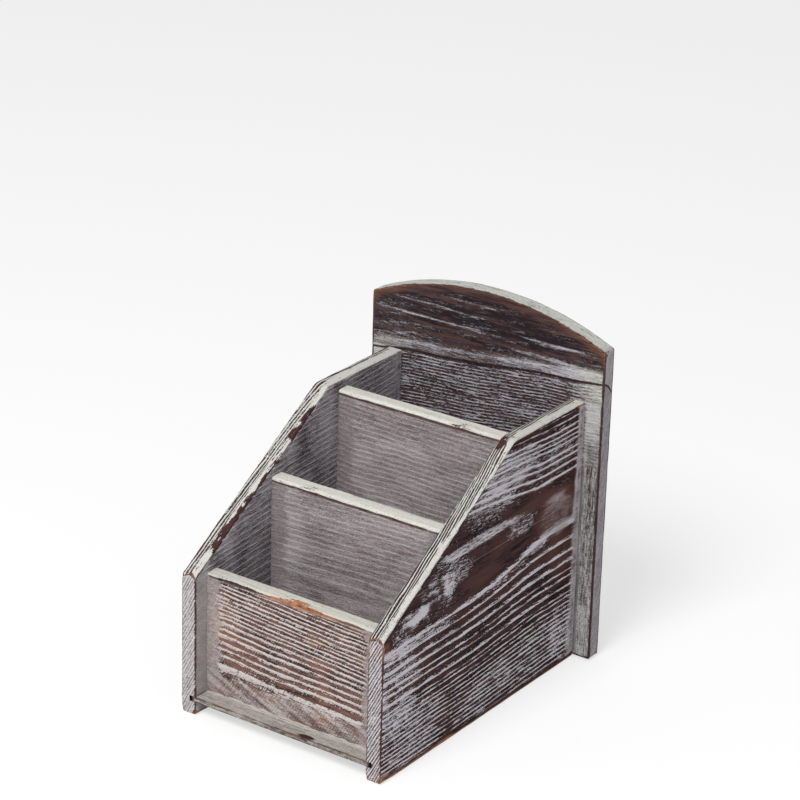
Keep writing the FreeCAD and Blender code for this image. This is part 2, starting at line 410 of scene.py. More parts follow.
def srgb(red, green, blue):
    """A colour as it looks on screen, 0 to 255, as the shader takes it."""
    levels = [level / 255 for level in (red, green, blue)]
    return tuple(level / 12.92 if level < 0.04045 else ((level + 0.055) / 1.055) ** 2.4
                 for level in levels) + (1.0,)


def new_group(name, inputs, outputs):
    """An empty node group with its sockets, given as names by their kind."""
    group = bpy.data.node_groups.new(name, "ShaderNodeTree")
    for way, sockets in (("INPUT", inputs), ("OUTPUT", outputs)):
        for kind, names in sockets.items():
            for socket in names.split():
                group.interface.new_socket(socket, in_out=way, socket_type="NodeSocket" + kind)
    return group, group.nodes.new("NodeGroupInput").outputs, group.nodes.new("NodeGroupOutput").inputs


def feed(tree, socket, value):
    """Links a socket to another's output, or sets its value."""
    if isinstance(value, bpy.types.NodeSocket):
        tree.links.new(value, socket)
    else:
        socket.default_value = value


def new_material(name):
    material = bpy.data.materials.new(name)
    material.use_nodes = True
    return material, material.node_tree, material.node_tree.nodes["Principled BSDF"]


def calculate(tree, operation, *values):
    node = tree.nodes.new("ShaderNodeMath")
    node.operation = operation
    for socket, value in zip(node.inputs, values):
        feed(tree, socket, value)
    return node.outputs[0]


def weigh(tree, value, weight, base):
    """A base value plus a weighted one."""
    return calculate(tree, "MULTIPLY_ADD", value, weight, base)


def add_marks(tree, marks, weight, base):
    """A base value raised or lowered by marks that lie about 0.5."""
    return weigh(tree, calculate(tree, "SUBTRACT", marks, 0.5), weight, base)


def threshold(tree, value, low, high):
    node = tree.nodes.new("ShaderNodeMapRange")
    node.interpolation_type = "SMOOTHSTEP"
    for socket, given in zip(node.inputs, (value, low, high, 0.0, 1.0)):
        feed(tree, socket, given)
    return node.outputs[0]


def blend_colours(tree, factor, first, second):
    node = tree.nodes.new("ShaderNodeMix")
    node.data_type = "RGBA"
    for name, value in (("Factor_Float", factor), ("A_Color", first), ("B_Color", second)):
        feed(tree, next(socket for socket in node.inputs if socket.identifier == name), value)
    return next(socket for socket in node.outputs if socket.identifier == "Result_Color")


def speckle(tree, vector, size, detail=2.0, roughness=0.5):
    """Noise from 0 to 1 over a vector, with its size along each axis in the vector's unit."""
    scaled = tree.nodes.new("ShaderNodeVectorMath")
    scaled.operation = "MULTIPLY"
    feed(tree, scaled.inputs[0], vector)
    scaled.inputs[1].default_value = [1 / length for length in size]
    node = tree.nodes.new("ShaderNodeTexNoise")
    tree.links.new(scaled.outputs[0], node.inputs["Vector"])
    node.inputs["Scale"].default_value = 1.0
    node.inputs["Detail"].default_value = detail
    node.inputs["Roughness"].default_value = roughness
    return node.outputs["Fac"]


def growth_rings():
    """Latewood ridges, 0 to 1, each with its own strength, their edges broken up by the brush."""
    group, given, result = new_group(
        "growth_rings", {"Float": "Rings Streak Speck Start", "Vector": "Comb"}, {"Float": "Ridge"})
    shaken = weigh(group, given["Streak"], 0.34, given["Rings"])
    shaken = weigh(group, given["Speck"], 0.22, shaken)
    shaken = calculate(group, "SUBTRACT", shaken, 0.28)
    part = calculate(group, "FRACT", shaken)
    rise = threshold(group, part, given["Start"], RIDGE_CREST)
    fall = threshold(group, part, 1.0, 0.9)
    places = group.nodes.new("ShaderNodeSeparateXYZ")
    group.links.new(given["Comb"], places.inputs[0])
    each = group.nodes.new("ShaderNodeCombineXYZ")
    group.links.new(calculate(group, "MULTIPLY", calculate(group, "FLOOR", shaken), 7.31), each.inputs[0])
    group.links.new(places.outputs[1], each.inputs[1])
    strength = threshold(group, speckle(group, each.outputs[0], (1.0, 26.0, 1.0), 1.0), 0.28, 0.6)
    strength = weigh(group, strength, 0.42, 0.68)
    height = calculate(group, "MULTIPLY", rise, fall)
    feed(group, result["Ridge"], calculate(group, "MULTIPLY", height, strength))
    return group


def brush_marks():
    """Streaks that the wire brush leaves along the grain, speckle, and hatching from the saw."""
    group, given, result = new_group(
        "brush_marks", {"Vector": "Comb"}, {"Float": "Broad Streak Fine Speck Hatch"})
    for mark, width, length in (("Broad", 2.6, 28.0), ("Streak", 0.7, 10.0), ("Fine", 0.36, 3.4)):
        feed(group, result[mark], speckle(group, given["Comb"], (width, length, 5.0)))
    feed(group, result["Speck"], speckle(group, given["Comb"], (0.6, 1.2, 5.0), 3.0, 0.6))
    turned = group.nodes.new("ShaderNodeVectorRotate")
    turned.rotation_type = "Z_AXIS"
    turned.inputs["Angle"].default_value = SAW_LEAN
    group.links.new(given["Comb"], turned.inputs["Vector"])
    across = group.nodes.new("ShaderNodeSeparateXYZ")
    group.links.new(turned.outputs[0], across.inputs[0])
    turns = calculate(group, "MULTIPLY", across.outputs[0], 2 * math.pi / SAW_LINES)
    wander = speckle(group, turned.outputs[0], (2.0, 9.0, 5.0))
    turns = weigh(group, wander, 9.0, turns)
    saw = calculate(group, "MULTIPLY", calculate(group, "SINE", turns), 0.12)
    scratch = speckle(group, turned.outputs[0], (0.5, 5.0, 5.0))
    feed(group, result["Hatch"], calculate(group, "ADD", saw, scratch))
    return group


def white_wash():
    """Where the wash holds: on the ridges first, then over the streaks, as the cover grows."""
    group, given, result = new_group(
        "white_wash",
        {"Float": "Cover Ridge Banded Lined Broad Streak Fine Speck Hatch Hatching Softness"},
        {"Float": "Mask"})
    height = calculate(group, "MULTIPLY", calculate(group, "SUBTRACT", given["Ridge"], 0.42), 0.85)
    total = calculate(group, "MULTIPLY", height, given["Banded"])
    marks = 0.0
    for name, weight in (("Broad", 0.5), ("Streak", 1.3), ("Fine", 1.4), ("Speck", 1.1),
                         ("Hatch", given["Hatching"])):
        marks = add_marks(group, given[name], weight, marks)
    total = weigh(group, marks, given["Lined"], total)
    total = calculate(group, "ADD", total, given["Cover"])
    smooth = weigh(group, given["Banded"], -0.6, 1.0)
    smooth = calculate(group, "MAXIMUM", calculate(group, "SUBTRACT", smooth, given["Lined"]), 0.0)
    softness = weigh(group, smooth, 0.42, given["Softness"])
    bounds = [calculate(group, way, 0.5, softness) for way in ("SUBTRACT", "ADD")]
    solid = threshold(group, total, *bounds)
    thin = calculate(group, "MULTIPLY", threshold(group, total, 0.22, 0.6), 0.08)
    feed(group, result["Mask"], calculate(group, "MAXIMUM", solid, thin))
    return group


def torched_wood():
    """Colour of the torched and brushed wood, from bright earlywood to charred streaks."""
    group, given, result = new_group(
        "torched_wood",
        {"Color": "Earlywood Latewood Char Glow", "Float": "Ridge Broad Streak Fine Warm"},
        {"Color": "Color"})
    grain = calculate(group, "SUBTRACT", given["Streak"], 0.3)
    grain = weigh(group, given["Ridge"], 0.5, grain)
    grain = add_marks(group, given["Fine"], 1.2, grain)
    wood = blend_colours(group, threshold(group, grain, 0.0, 0.5), given["Earlywood"], given["Latewood"])
    burn = calculate(group, "MULTIPLY", given["Streak"], 0.5)
    burn = weigh(group, given["Broad"], 0.6, burn)
    burn = weigh(group, given["Warm"], -0.15, burn)
    wood = blend_colours(group, threshold(group, burn, 0.49, 0.63), wood, given["Char"])
    bright = weigh(group, given["Fine"], 0.6, given["Streak"])
    glow = calculate(group, "MULTIPLY", given["Warm"], threshold(group, bright, 0.6, 0.95))
    feed(group, result["Color"], blend_colours(group, glow, wood, given["Glow"]))
    return group


RINGS, MARKS, WASH, WOOD = growth_rings(), brush_marks(), white_wash(), torched_wood()


def use_group(tree, group, **values):
    node = tree.nodes.new("ShaderNodeGroup")
    node.node_tree = group
    for name, value in values.items():
        feed(tree, node.inputs[name], value)
    return node.outputs


def washed_wood(name, colours, ridge_width, hatching, softness):
    """The whole finish of a board: torched wood, wash, rubbed arrises and the brush's relief."""
    earlywood, latewood, char, glow, rub, paint, cream = (srgb(*colour) for colour in colours)
    material, tree, shader = new_material(name)

    def field(attribute, output="Fac"):
        node = tree.nodes.new("ShaderNodeAttribute")
        node.attribute_name = attribute
        return node.outputs[output]

    comb = field("comb", "Vector")
    marks = use_group(tree, MARKS, Comb=comb)
    ridge_height = use_group(tree, RINGS, Rings=field("rings"), Comb=comb, Streak=marks["Streak"],
                             Speck=marks["Speck"], Start=RIDGE_FOOT - ridge_width)["Ridge"]
    shared = {mark: marks[mark] for mark in ("Broad", "Streak", "Fine")}
    mask = use_group(tree, WASH, Cover=field("cover"), Ridge=ridge_height, Banded=field("banded"),
                     Lined=field("lined"), Speck=marks["Speck"], Hatch=marks["Hatch"],
                     Hatching=hatching, Softness=softness, **shared)["Mask"]
    wood = use_group(tree, WOOD, Earlywood=earlywood, Latewood=latewood, Char=char, Glow=glow,
                     Ridge=ridge_height, Warm=field("warm"), **shared)["Color"]
    wash = blend_colours(tree, field("edge"), paint, cream)
    thick = weigh(tree, marks["Speck"], 0.6, 0.6)
    thick = calculate(tree, "MINIMUM", calculate(tree, "MULTIPLY", mask, thick), 1.0)
    finish = blend_colours(tree, thick, wood, wash)
    wear = calculate(tree, "MAXIMUM", field("arris"), field("rubbed"))
    wear = add_marks(tree, marks["Speck"], 1.3, wear)
    wear = add_marks(tree, marks["Streak"], 0.8, wear)
    held = calculate(tree, "MULTIPLY", ridge_height, calculate(tree, "MINIMUM", field("banded"), 1.6))
    wear = weigh(tree, held, -0.22, wear)
    streaky = calculate(tree, "MULTIPLY", marks["Streak"], 0.4)
    streaky = weigh(tree, marks["Fine"], 0.6, streaky)
    streaky = weigh(tree, calculate(tree, "MINIMUM", field("warm"), 0.0), 0.12, streaky)
    worn = blend_colours(tree, threshold(tree, streaky, 0.36, 0.52), char,
                         blend_colours(tree, field("warm"), earlywood, rub))
    finish = blend_colours(tree, threshold(tree, wear, 0.52, 0.64), finish, worn)
    tree.links.new(finish, shader.inputs["Base Color"])
    tree.links.new(weigh(tree, mask, 0.15, 0.66), shader.inputs["Roughness"])
    shader.inputs["Specular IOR Level"].default_value = 0.05
    bump = tree.nodes.new("ShaderNodeBump")
    bump.inputs["Strength"].default_value = 1.0
    bump.inputs["Distance"].default_value = 0.3 * MM
    height = weigh(tree, marks["Fine"], 0.8, calculate(tree, "MULTIPLY", mask, 0.7))
    height = weigh(tree, ridge_height, 0.5, height)
    tree.links.new(height, bump.inputs["Height"])
    tree.links.new(bump.outputs["Normal"], shader.inputs["Normal"])
    return material


SIDE_FINISH = washed_wood("washed_side_wood", [(72, 48, 46), (48, 31, 34), (22, 13, 18), (106, 72, 59),
                                               (160, 113, 86), (208, 203, 209), (202, 201, 195)],
                          SIDE_RIDGE, hatching=0.3, softness=0.04)

# Wash on the panels, each (y, z, half length, half height, amount), in millimetres
RIGHT_WASH = [
    (-84, 52, 22, 22, 0.37), (-68, 20, 34, 18, 0.3), (-38, 14, 8, 17, -0.14), (-2, 14, 26, 14, 0.2),
    (44, 18, 34, 15, 0.16), (73, 22, 10, 22, 0.26), (-66, 71, 34, 2.8, 0.42), (-8, 74.5, 28, 2.2, 0.4),
    (20, 78, 16, 2.4, 0.36), (44, 82.5, 12, 3.4, 0.4), (8, 87, 27, 7, -0.35), (-69, 86, 13, 4.5, 0.38),
    (-38, 91, 4.5, 9, 0.13), (-78, 79, 14, 5, 0.28), (-50, 83, 22, 6, 0.26), (-40, 96, 24, 9, 0.34),
    (-12, 107, 38, 3.2, 0.56), (28, 101, 14, 6, 0.34), (64, 93, 20, 14, 0.08), (25, 130, 50, 15, 0.2),
    (-5, 122, 26, 10, 0.26), (16, 138, 26, 12, 0.24), (68, 131, 14, 20, 0.14), (0, 54, 36, 14, 0.02),
    (50, 150.2, 42, 2.3, -0.7), (-93, 78, 5, 3, -0.5),
]
# Bare wood, above 0 where it glows warm and below 0 where it is charred
RIGHT_BARE = [(26, 89, 18, 6, -0.5), (-8, 84, 18, 5, 0.2), (30, 82, 10, 3, 0.3), (63, 95, 20, 13, 0.75),
              (70, 72, 14, 15, 0.45), (50, 108, 30, 4, 0.4), (-40, 0, 12, 3, 1.0), (-93, 2, 5, 5, 1.0),
              (-94, 76, 4, 4, 1.0), (84, 151, 5, 3, 1.0), (46, 20, 42, 16, -0.7), (14, 60, 30, 4, -0.3),
              (-70, 24, 26, 16, -0.2)]
# Where the wash was daubed on with the end of the brush
RIGHT_DAUBS = [(-58, 91, 34, 13, 1.0), (24, 101, 12, 5, 0.6)]
# Worn edges, each (distance from the nose, depth below the outer face, then as above)
RIGHT_RUBS = [(133, 7.2, 5.5, 2.8, 1.1), (140, 3, 2, 4, 0.5), (60, 9.4, 30, 0.6, 0.5)]
LEFT_WASH = [(-60, 40, 24, 20, 0.2), (10, 60, 30, 14, -0.1), (40, 120, 30, 16, 0.1), (0, 15, 60, 10, 0.1)]
LEFT_BARE = [(20, 66, 24, 7, 0.4)]
LEFT_RUBS = [(29, 8.4, 12, 3.6, 1.2), (50, 8.8, 11, 3.0, 1.15), (74, 9.3, 13, 2.0, 1.0),
             (101, 8.6, 5, 3.2, 1.2), (113, 9.2, 9, 2.4, 1.05)]

right_mesh = side_panel("right_side_panel", 1, 11, right_rings, RIGHT_WASH, RIGHT_DAUBS, RIGHT_BARE,
                        3.6, RIGHT_RUBS)
place_board("right_side_panel", right_mesh, SIDE_FINISH)
left_mesh = side_panel("left_side_panel", -1, 31, left_rings, LEFT_WASH, [], LEFT_BARE, 5.4, LEFT_RUBS)
place_board("left_side_panel", left_mesh, SIDE_FINISH)

# Bottom board: a thin board housed in the side panels' grooves under all three slots, its front
# edge showing as a lip before the front panel. Only wiped with wash, not torched.

BOTTOM_ARRIS = 0.4 * MM
THIN_RIM = 0.6 * MM
PANEL_FRONT = -86.5 * MM  # the front panel's front face
LIP_KNOT = [(16.5, -94.2, 4.6, 1.7, 1.2)]  # (x, y, half length, half width, wear), in millimetres

bottom_low, bottom_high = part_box("bottom_board")


def bottom_board():
    x_cuts = cuts(bottom_low.x, (bottom_high.x, 90))
    y_cuts = cuts(bottom_low.y, (bottom_low.y + RIM, 4), (PANEL_FRONT, 16), (bottom_high.y, 60))
    z_cuts = cuts(bottom_low.z, (bottom_low.z + THIN_RIM, 3), (bottom_high.z - THIN_RIM, 3),
                  (bottom_high.z, 3))
    mesh, place, unit = cut_block("bottom_board", x_cuts, y_cuts, z_cuts)
    face_depth, way, upper = nearer_face(place[:, 2], bottom_low.z, bottom_high.z)
    depth = place[:, 1] - bottom_low.y
    place = ease(place, 2, face_depth, way, depth, (0, -1, 0), BOTTOM_ARRIS)
    x, y, z = place.T / MM
    rings = (y + 2 * noise(52, place, 30)) / 4.0
    past_panel = y - PANEL_FRONT / MM
    in_front = fade(past_panel, -1, 1)
    covered = 0.42 + 0.28 * in_front + 0.1 * noise(53, place, 12)
    worn = patches(place[:, 0], place[:, 1], LIP_KNOT) * upper
    covered -= 0.7 * worn + 0.22 * (unit[:, 1] == -1)
    bead = fade(np.abs(past_panel + 0.5 + 0.5 * noise(55, place, (5, 9, 9))), 0.2, 0.7) * in_front
    # Its ends, housed in the side panels' grooves, get no wash and the charred colour although this board is
    # not torched: dark unwashed end grain, and in part painted shade in the grooves.
    at_end = np.abs(unit[:, 0]) == 1
    covered = np.where(at_end, -0.6, covered + 0.3 * bead)
    arris = fade(np.hypot(face_depth, depth), 0.1 * MM, 1.2 * MM) * (0.76 + 0.4 * noise(56, place, 5))
    shape_board(mesh, place, np.zeros(len(place)))
    lay_fields(mesh, rings=rings, comb=comb_along(y + z * 0.7, x, 7), cover=covered, banded=0 * x,
               lined=0.55 + 0 * x, edge=bead, arris=arris, rubbed=worn,
               warm=-1.0 * np.maximum(at_end, worn))
    return mesh


THIN_FINISH = washed_wood("washed_thin_board", [(104, 84, 74), (84, 68, 62), (52, 42, 40), (120, 96, 80),
                                                (130, 92, 70), (172, 167, 161), (200, 196, 186)],
                          0.3, hatching=0.3, softness=0.1)
place_board("bottom_board", bottom_board(), THIN_FINISH)

# Front panel and dividers: three solid boards between the side panels, standing on the bottom
# board, each taller than the one before. Torched, brushed and washed like the sides, with the
# top arrises rounded and washed solid. Glued to the bottom board and nailed through the sides.

TOP_ROUND = 1.8 * MM
TOP_RIM, TOP_ROWS = 2 * MM, 3 * MM
FRONT_RIDGE = 0.55


def cross_board(node, seed, rows, rings_of, contrast, cover, marks, warm, rubs, cream_top, faded_below):
    """A board between the side panels, its grain running across the object."""
    low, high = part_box(node)
    x_cuts = cuts(low.x, (high.x, 84))
    y_cuts = cuts(low.y, (low.y + TOP_RIM, 6), (high.y - TOP_RIM, 5), (high.y, 6))
    z_cuts = cuts(low.z, (high.z - TOP_ROWS, rows), (high.z, 12))
    mesh, place, unit = cut_block(node, x_cuts, y_cuts, z_cuts)
    face_depth, way, at_rear = nearer_face(place[:, 1], low.y, high.y)
    radius = TOP_ROUND * (1 + 0.25 * noise(seed + 9, place, 11))
    place = ease(place, 1, face_depth, way, high.z - place[:, 2], (0, 0, 1), radius)
    x, y, z = place.T / MM
    top = high.z / MM
    sway = 1.1 * noise(seed, place, (34, 40, 20)) + 0.35 * noise(seed + 1, place, (11, 30, 6))
    rings, rise = rings_of(x, y - low.y / MM, z + sway)
    broad = np.abs(unit[:, 1]) == 1
    edge = (unit[:, 2] == 1) | (z > top - cream_top + 0.5 * noise(seed + 2, place, 5))
    comb = np.where(edge[:, None], comb_along(y + 0.02 * x, x, seed + 20), comb_along(rise, x, seed))
    margin = ramp(INNER_X / MM - np.abs(x) + 1.8 * noise(seed + 4, place, 6), 6.5, 12.5)
    faded = fade(z + 1.5 * noise(seed + 5, place, 14), faded_below - 3, faded_below + 1)
    brushed = contrast * broad * margin * fade(z, top - 3.2, top - 2.2) * (1 - 0.8 * faded)
    covered = cover + patches(place[:, 0], place[:, 2], marks)
    covered += 0.10 * noise(seed + 3, place, (18, 20, 7))
    covered += (0.50 - covered) * (1 - margin)
    diagonal = np.stack([x + 1.1 * z, z + 0.45 * x, y], axis=1) * MM
    covered += faded * (0.52 + 0.26 * noise(seed + 8, diagonal, (13, 2.4, 9)) - covered)
    bead = fade(z - low.z / MM - 0.9 - 0.9 * noise(seed + 7, place, (4, 9, 9)), -0.3, 0.3)
    covered = np.where(edge, 0.88, covered) + 0.5 * bead
    rubbed = patches(place[:, 0], place[:, 2], rubs) * ~at_rear
    rubbed = rubbed * (1 + 0.4 * noise(seed + 10, place, (7, 9, 1)))
    streaks = noise(seed + 6, comb * MM, (0.6, 9, 1000))
    sunk = relief(brushed, ridge(rings, FRONT_RIDGE), streaks)
    shape_board(mesh, place, sunk + 0.25 * MM * np.clip(rubbed, 0, 1))
    lay_fields(mesh, rings=rings, comb=comb, cover=covered, banded=brushed,
               lined=0.3 + 0.7 * np.maximum(brushed, edge * 0.5), edge=np.maximum(edge, bead),
               arris=0 * x, rubbed=rubbed, warm=patches(place[:, 0], place[:, 2], warm))
    return mesh


def front_rings(x, depth, z):
    """Ring count and height above the heart for the front panel."""
    heart, pith, spacing = 14, 29, 2.7
    rise = z - heart + 0.055 * x
    radius = np.hypot(rise, pith + depth)
    outer = np.maximum(radius - 50, 0)
    return (radius - 48 + 0.38 * outer + 0.7 * ring_sway(64, radius, 5)) / spacing + 30.9, rise


def plain_rings(heart, tilt, pith, spacing):
    """The same for a board whose rings are even."""
    def rings_of(x, depth, z):
        rise = z - heart - tilt * x
        return np.hypot(rise, pith + depth) / spacing, rise
    return rings_of


# Each (x, z, half length, half height, amount), in millimetres
FRONT_WASH = [(-36, 27, 16, 5, 0.1), (0, 70, 56, 9, -0.02), (-25, 45, 14, 10, -0.08),
              (5, 38, 24, 12, -0.03), (-43, 58, 9, 16, 0.08), (-38, 34, 12, 4, -0.1),
              (20, 17, 6, 5, -0.18), (20, 34, 5, 3, -0.08), (14, 26.5, 36, 3, -0.1)]
FRONT_WARM = [(14, 62, 5, 3, 0.45), (17, 50, 5, 4, 0.5), (20, 42, 5, 3, 0.45), (21, 33, 6, 5, 0.5),
              (21, 20, 6, 5, 0.6), (-35, 40, 12, 10, 0.25), (-44, 56, 9, 14, 0.5), (4, 79.6, 26, 2.4, 0.85),
              (-40, 79, 20, 2.4, -1.0)]
FRONT_RUBS = [(4, 79.3, 21, 1.2, 1.2), (-36, 79.2, 19, 1.0, 0.95), (34, 79.1, 14, 0.8, 0.85)]
FRONT_FINISH = washed_wood("washed_front_wood", [(118, 90, 81), (84, 61, 55), (56, 41, 39), (152, 104, 80),
                                                 (178, 124, 90), (198, 190, 187), (198, 197, 188)],
                           FRONT_RIDGE, hatching=0.85, softness=0.12)
front_mesh = cross_board("front_panel", 61, 160, front_rings, contrast=1, cover=0.50, marks=FRONT_WASH,
                         warm=FRONT_WARM, rubs=FRONT_RUBS, cream_top=1.1, faded_below=25)
place_board("front_panel", front_mesh, FRONT_FINISH)

DIVIDER_FINISH = washed_wood("washed_divider_wood", [(92, 73, 70), (78, 61, 60), (50, 38, 40), (112, 80, 66),
                                                     (104, 72, 58), (186, 178, 179), (208, 207, 198)],
                             FRONT_RIDGE, hatching=0.4, softness=0.16)
middle_mesh = cross_board("middle_divider", 71, 235, plain_rings(52, 0.03, 30, 2.6), contrast=0.14,
                          cover=0.56, marks=[(-46, 90, 12, 26, 0.12)], warm=[],
                          rubs=[(0, 114.0, 70, 0.9, 0.9), (-30, 115.6, 8, 0.8, 0.6)],
                          cream_top=1.6, faded_below=0)
place_board("middle_divider", middle_mesh, DIVIDER_FINISH)
rear_mesh = cross_board("rear_divider", 81, 300, plain_rings(8, -0.02, 34, 2.9), contrast=0.14,
                        cover=0.54, marks=[(-20, 110, 30, 24, 0.10)], warm=[],
                        rubs=[(0, 145.2, 70, 0.9, 0.9), (25, 146.8, 9, 0.8, 0.6)],
                        cream_top=1.6, faded_below=0)
place_board("rear_divider", rear_mesh, DIVIDER_FINISH)

# Back board: one board across the rear ends of the side panels, wider than they are, its top
# edge an arch. Torched, brushed and washed, with its arrises brushed over; nailed from behind.

back_low, back_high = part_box("back_board")
BACK_HALF = back_high.x
BACK_CORNER = 183.5 * MM
BACK_ROUND = 1.5 * MM
ARCH_RISE = back_high.z - BACK_CORNER
ARCH_RADIUS = (BACK_HALF ** 2 + ARCH_RISE ** 2) / (2 * ARCH_RISE)
STRAIGHT_ROWS = 150 * MM  # below this height the rows of cells run level, as the grain does
SHAKE_HEIGHT = 158.4  # millimetres; a growth ring has lifted along this line
SHAKE_TILT = 0.095
SHAKE_STEP = 0.35 * MM  # the wood above it stands proud of the wood below
BACK_RIDGE = 0.42
# Wash on the crest, each (x, z, half length, half height, amount), in millimetres
CREST_WASH = [(48, 179.6, 28, 0.8, 0.3), (48, 187.6, 11, 0.7, 0.24), (38, 171.2, 24, 1.0, 0.3),
              (66, 168, 16, 4, 0.16), (30, 165, 30, 2.5, 0.12), (-30, 184, 34, 0.8, 0.28),
              (-46, 176, 30, 0.8, 0.28), (-10, 191, 22, 0.7, 0.24), (-58, 166, 18, 4, 0.08),
              (-5, 176, 20, 0.8, 0.24)]
# Charred patches on the crest, each as above: the torched wood's own colour, and in part a painted shadow of
# remotes standing in the slots
CREST_CHAR_AND_SHADOW = [(20, 182, 40, 9, -0.6), (-36, 180, 30, 7, -0.5)]


def arch(x):
    """Height of the back board's top edge."""
    return back_high.z - ARCH_RADIUS + np.sqrt(ARCH_RADIUS ** 2 - x ** 2)


def back_board():
    x_cuts = cuts(-1, (-0.98, 4), (0.98, 76), (1, 4))
    y_cuts = cuts(back_low.y, (back_low.y + RIM, 3), (back_high.y - RIM, 8), (back_high.y, 3))
    z_cuts = cuts(back_low.z, (back_low.z + END_RIM, 5), (STRAIGHT_ROWS, 330),
                  (back_high.z - END_RIM, 96), (back_high.z, 5))
    mesh, place, unit = cut_block("back_board", x_cuts, y_cuts, z_cuts)
    row = place[:, 2]
    place[:, 0] *= (BACK_HALF - round_inset(BACK_ROUND, BACK_ROUND - (row - back_low.z))
                    - round_inset(BACK_ROUND, BACK_ROUND - (back_high.z - row)))
    above = np.clip((row - STRAIGHT_ROWS) / (back_high.z - STRAIGHT_ROWS), 0, 1)
    place[:, 2] = np.where(above > 0, STRAIGHT_ROWS + above * (arch(place[:, 0]) - STRAIGHT_ROWS), row)
    beside = BACK_HALF - np.abs(place[:, 0])
    centre = back_high.z - ARCH_RADIUS
    span = np.hypot(place[:, 0], place[:, 2] - centre)
    zero = np.zeros(len(place))
    off_arch = np.stack([place[:, 0], zero, place[:, 2] - centre], axis=1) / span[:, None]
    depth, outward = edge_depth([(beside, np.stack([np.sign(place[:, 0]), zero, zero], axis=1)),
                                 (place[:, 2] - back_low.z, (0, 0, -1)),
                                 (ARCH_RADIUS - span, off_arch)])
    face_depth, way, at_rear = nearer_face(place[:, 1], back_low.y, back_high.y)
    place = ease(place, 1, face_depth, way, depth, outward, ARRIS * (1 + 0.4 * noise(91, place, 9)))
    x, y, z = place.T / MM
    seam = SHAKE_HEIGHT + SHAKE_TILT * x + 1.0 * noise(94, place, (22, 60, 60))
    rise = z - seam + 0.09 * (y - back_low.y / MM) ** 2
    above_shake = ramp(rise, -0.4, 0.4)
    rings = np.where(rise > 0, rise / 5.6, rise / 1.9 + 20) + 0.3 * noise(92, place, (34, 40, 16))
    on_arch = unit[:, 2] == 1
    on_end = np.abs(unit[:, 0]) == 1
    broad = np.abs(unit[:, 1]) == 1
    from_side = np.abs(x) - OUTER_X / MM
    strip = (from_side > 0) & (unit[:, 1] == -1) & (z < SIDE_TOP / MM)
    smeared = strip & (z < 116)
    comb = np.where(on_arch[:, None], comb_along(y, x, 27), comb_along(z, x, 17))
    comb_end = comb_along(y * math.sin(SAW_LEAN) - z * math.cos(SAW_LEAN), z, 37)
    comb = np.where(on_end[:, None], comb_end, comb)
    comb = np.where(smeared[:, None], comb_along(x, z, 57), comb)
    rings = np.where(on_end, comb[:, 0] / SAW_LINES, rings)
    covers_side = (~at_rear) & (np.abs(x) > INNER_X / MM - 0.5) & (from_side < 0.5) & (z < SIDE_TOP / MM)
    brushed = broad * ~covers_side * np.where(strip, 0.12 * ~smeared, np.where(at_rear, 1.0, 0.4))
    blotches = noise(93, place, (26, 20, 10))
    # Less wash on the crest well above the shake: thin wash, and in part a painted shadow of the remotes.
    covered = 0.46 + 0.08 * blotches - 0.26 * above_shake * ramp(rise, 5, 10)
    covered += patches(place[:, 0], place[:, 2], CREST_WASH)
    # The pale band near the ends gets only a little more wash, held low in part as painted shade from the
    # remotes.
    pale = ramp(np.abs(x) + 4 * blotches, 50, 72) * fade(rise, 5, 13) * ramp(z, 144, 156) * broad
    covered += np.where(rise < 0, 0.22, 0.02) * pale
    banded = np.where(on_end, 0.25, brushed * (1 - 0.6 * above_shake) * (1 - 0.8 * pale))
    smear = noise(97, place, (2.2, 9, 14))
    speckled = ramp(z, 50, 62) * fade(z, 122, 140) * ramp(from_side + smear, 1.0, 4.0)
    strip_cover = 0.72 - 0.22 * speckled - 0.14 * fade(z, 84, 116) + 0.10 * blotches + 0.08 * smear
    covered = np.where(strip, np.maximum(strip_cover, covered), covered)
    on_line = fade(np.abs(rise), 0.2, 0.8) * (broad | on_end)
    under_arch = fade(depth / MM + 1.2 * noise(95, place, 14), 2.2, 6.0) * ramp(z, 172, 182) * broad
    covered = np.where(on_arch, 0.80, np.where(on_end, 0.58 + 0.08 * above_shake, covered))
    covered -= 0.8 * on_line + 0.45 * under_arch
    sunk = relief(brushed, ridge(rings, BACK_RIDGE), noise(96, comb * MM, (0.6, 9, 1000)))
    sunk += SHAKE_STEP * (1 - above_shake) * (broad & ~at_rear & ~covers_side)
    shape_board(mesh, place, np.maximum(sunk, 0))
    arris = fade(np.hypot(face_depth, depth), 0.2 * MM, 2.0 * MM) * (1 + 0.4 * noise(98, place, 2.5))
    arris = arris * (1 - 0.4 * on_arch) * (1 + 0.25 * (~on_arch & (beside < ARRIS * 3)))
    lined = np.where(at_rear, 1.0, 0.7 - 0.3 * pale - 0.22 * above_shake * (1 - pale))
    lined = np.where(strip, 0.36 + 0.2 * smeared, np.where(on_arch, 0.8, lined))
    corner = fade(np.hypot(BACK_HALF / MM - np.abs(x), 0.5 * (z - BACK_CORNER / MM + 1)), 0.3, 2.2)
    chipped = corner * (0.6 + 0.9 * noise(99, place, 1.0)) * ~at_rear
    warm = under_arch * (0.18 + 0.37 * ramp(np.abs(x), 36, 62)) + 0.3 * corner
    warm += patches(place[:, 0], place[:, 2], CREST_CHAR_AND_SHADOW) * broad
    lay_fields(mesh, rings=rings, comb=comb, cover=covered, banded=banded,
               lined=np.where(on_end, 0.3, lined),
               edge=np.where(on_arch, 1.0, np.maximum(0.6 * strip, pale)), arris=arris,
               rubbed=np.maximum(0.62 * on_line, chipped), warm=warm)
    return mesh


BACK_FINISH = washed_wood("washed_back_wood", [(80, 61, 58), (60, 46, 47), (38, 30, 33), (122, 84, 66),
                                               (144, 96, 70), (186, 181, 188), (190, 190, 184)],
                          BACK_RIDGE, hatching=0.3, softness=0.08)
place_board("back_board", back_board(), BACK_FINISH)

# Brads: galvanised wire nails driven through the side panels and the back board, punched below
# the surface and filled over, so none of them shows.

SPANGLE = 0.4 * MM


